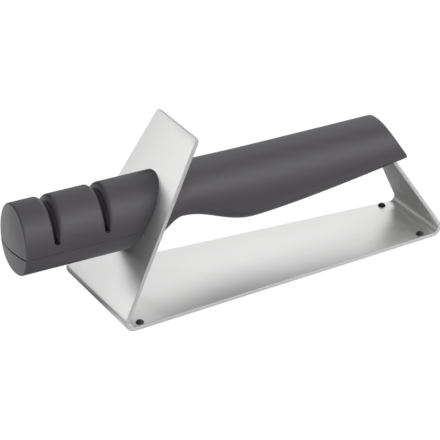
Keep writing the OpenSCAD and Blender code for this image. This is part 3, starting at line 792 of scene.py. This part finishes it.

# ---------------------------------------------------------------- floor and light
# A studio: a pale floor that the camera sees white, soft panels around, and two lamps. The sky
# lights the scene and shows in glossy faces alike; the floor does not: glossy rays see it glow
# in bright and dark patches, a painted reflection with painted shade that no lamp or shadow
# makes.
floor_mesh = bpy.data.meshes.new("floor")
bm = bmesh.new()
bmesh.ops.create_grid(bm, x_segments=1, y_segments=1, size=6.0)
bm.to_mesh(floor_mesh)
bm.free()
floor = bpy.data.objects.new("floor", floor_mesh)
bpy.context.scene.collection.objects.link(floor)
white = bpy.data.materials.new("pale floor")
white.use_nodes = True
tree = white.node_tree
tree.nodes.clear()
out = node(tree, "ShaderNodeOutputMaterial")
path = node(tree, "ShaderNodeLightPath")
spot = node(tree, "ShaderNodeSeparateXYZ",
            {"Vector": node(tree, "ShaderNodeTexCoord").outputs["Object"]})


def levels(tree, value, *stops):
    """Levels joined by straight lines over a value, and held beyond its ends."""
    (low, first), (high, _) = stops[0], stops[-1]
    unit = node(tree, "ShaderNodeMapRange", {"Value": value, "From Min": low, "From Max": high})
    made = node(tree, "ShaderNodeValToRGB", {"Fac": unit.outputs["Result"]})
    ramp = made.color_ramp
    ramp.elements.remove(ramp.elements[-1])
    ramp.elements[0].position, ramp.elements[0].color = 0.0, (first, first, first, 1)
    for where, level in stops[1:]:
        ramp.elements.new((where - low) / (high - low)).color = (level, level, level, 1)
    return made.outputs["Color"]


def step(tree, value, low, high, start=0.0, end=1.0):
    """A smooth step from a start to an end."""
    return node(tree, "ShaderNodeMapRange", {
        "Value": value, "From Min": low, "From Max": high, "To Min": start, "To Max": end},
        interpolation_type="SMOOTHSTEP").outputs["Result"]


def total(tree, *pairs):
    """The sum of products."""
    result = 0.0
    for first, second in pairs:
        result = node(tree, "ShaderNodeMath", {0: first, 1: second, 2: result},
                      operation="MULTIPLY_ADD").outputs["Value"]
    return result


# Levels of the painted reflection by metres along the floor, for its rear and its front part,
# and for the strip in front of the base that the cut edge mirrors. Only glossy rays see them:
# the bright levels are painted light, and the dark ones behind the object painted shade.
floor_x, floor_y = spot.outputs["X"], spot.outputs["Y"]
rear_floor = levels(tree, floor_x, (-0.24, 1.45), (-0.16, 1.60), (-0.10, 0.60), (-0.04, 0.0),
                    (0.02, 0.0), (0.09, 0.0), (0.115, 0.45))
front_floor = levels(tree, floor_x, (-0.16, 1.18), (-0.11, 0.32), (-0.06, 0.10),
                     (0.06, 0.16), (0.16, 0.24))
strip = levels(tree, floor_y, (-0.30, 0.0), (-0.20, 0.22), (-0.10, 0.14), (-0.07, 0.10),
               (-0.045, 0.44), (-0.02, 0.44), (0.0, 0.0))
painted_reflection_level = total(
    tree, (step(tree, floor_y, -0.01, 0.09), rear_floor),
    (step(tree, floor_y, -0.01, 0.09, 1.0, 0.0), front_floor),
    (strip, step(tree, floor_x, -0.10, -0.08)))
strength = node(tree, "ShaderNodeMix", {
    "Factor": path.outputs["Is Glossy Ray"], "A": 1.03, "B": painted_reflection_level})
plain_floor = node(tree, "ShaderNodeBsdfDiffuse", {"Color": (0.6, 0.6, 0.6, 1)})
glow = node(tree, "ShaderNodeEmission", {
    "Color": (1, 1, 1, 1), "Strength": strength.outputs["Result"]})
seen = node(tree, "ShaderNodeMath", {0: path.outputs["Is Camera Ray"], 1: 0.97,
                                     2: path.outputs["Is Glossy Ray"]},
            operation="MULTIPLY_ADD")
through = node(tree, "ShaderNodeMath", {0: path.outputs["Is Transmission Ray"], 1: 0.85,
                                        2: seen.outputs["Value"]},
               operation="MULTIPLY_ADD", use_clamp=True)
mixed = node(tree, "ShaderNodeMixShader", {
    0: through.outputs["Value"], 1: plain_floor.outputs["BSDF"], 2: glow.outputs["Emission"]})
tree.links.new(mixed.outputs["Shader"], out.inputs["Surface"])
floor_mesh.materials.append(white)

world = bpy.data.worlds.new("studio")
bpy.context.scene.world = world
world.use_nodes = True
tree = world.node_tree
tree.nodes.clear()
out = node(tree, "ShaderNodeOutputWorld")
path = node(tree, "ShaderNodeLightPath")

# Levels by the direction's share of X, Y and Z: panels low at the rear left and all the way
# up at the rear right, a dim ceiling, a dim front, and a softbox at the front
direction = node(tree, "ShaderNodeTexCoord").outputs["Generated"]
way = node(tree, "ShaderNodeSeparateXYZ", {"Vector": direction})
sky_x, sky_y, sky_z = (way.outputs[axis] for axis in "XYZ")
toward = node(tree, "ShaderNodeVectorMath", {0: direction, 1: (0.43, -0.86, 0.28)},
              operation="DOT_PRODUCT").outputs["Value"]
low_left = total(tree, (
    levels(tree, sky_x, (-0.45, 1.0), (-0.15, 0.0)),
    levels(tree, sky_z, (0.02, 0.0), (0.14, 1.17), (0.36, 1.09), (0.48, 0.0))))
panels = levels(tree, sky_x, (0.22, 0.12), (0.40, 1.0))
heights = levels(tree, sky_z, (0.02, 0.84), (0.14, 1.10), (0.36, 1.01), (0.69, 1.22),
                 (0.81, 0.0))
rear_sky = total(
    tree, (step(tree, sky_z, 0.6, 0.9), 0.26), (panels, heights), (low_left, 1.0))
front_sky = levels(tree, sky_x, (-0.3, 0.32), (0.3, 0.55))
level = total(
    tree, (step(tree, sky_y, -0.15, 0.35), rear_sky),
    (step(tree, sky_y, -0.15, 0.35, 1.0, 0.0), front_sky),
    (step(tree, toward, 0.90, 0.97), 1.35))
soft = node(tree, "ShaderNodeBackground", {"Color": (1, 1, 1, 1), "Strength": level})
clear = node(tree, "ShaderNodeBackground", {"Color": (1, 1, 1, 1), "Strength": 1.0})
mixed = node(tree, "ShaderNodeMixShader", {
    0: path.outputs["Is Camera Ray"], 1: soft.outputs["Background"],
    2: clear.outputs["Background"]})
tree.links.new(mixed.outputs["Shader"], out.inputs["Surface"])


def lamp(name, place, aim, width, depth, watts):
    """A soft lamp that the camera doesn't see."""
    light = bpy.data.lights.new(name, "AREA")
    light.shape, light.size, light.size_y, light.energy = "RECTANGLE", width, depth, watts
    obj = bpy.data.objects.new(name, light)
    bpy.context.scene.collection.objects.link(obj)
    obj.location = place
    obj.rotation_euler = (Vector(aim) - Vector(place)).to_track_quat("-Z", "Y").to_euler()
    obj.visible_camera = False
    return obj


front_lamp = lamp("softbox_front", (0.47, -0.87, 0.50), (0, 0, 0.04), 1.1, 1.0, 6.9)
front_lamp.visible_glossy = False
lamp("softbox_top", (0.27, 0.15, 0.50), (0.08, 0, 0.06), 0.30, 0.20, 0.165)

# ---------------------------------------------------------------- camera
# It looks from the front left, a little above, with a long lens. Its place, aim and lens
# were fitted to the object's edges in the photograph.
lens = bpy.data.cameras.new("camera")
lens.lens, lens.sensor_width, lens.clip_start, lens.clip_end = 197.157, 36.0, 0.05, 20.0
camera = bpy.data.objects.new("camera", lens)
bpy.context.scene.collection.objects.link(camera)
camera.location = (-0.528726, -0.9527, 0.5974)
camera.rotation_euler = (Vector((-0.002386, 0, 0.03017)) - camera.location).to_track_quat(
    "-Z", "Y").to_euler()
bpy.context.scene.camera = camera
bpy.context.scene.view_settings.view_transform = "Standard"
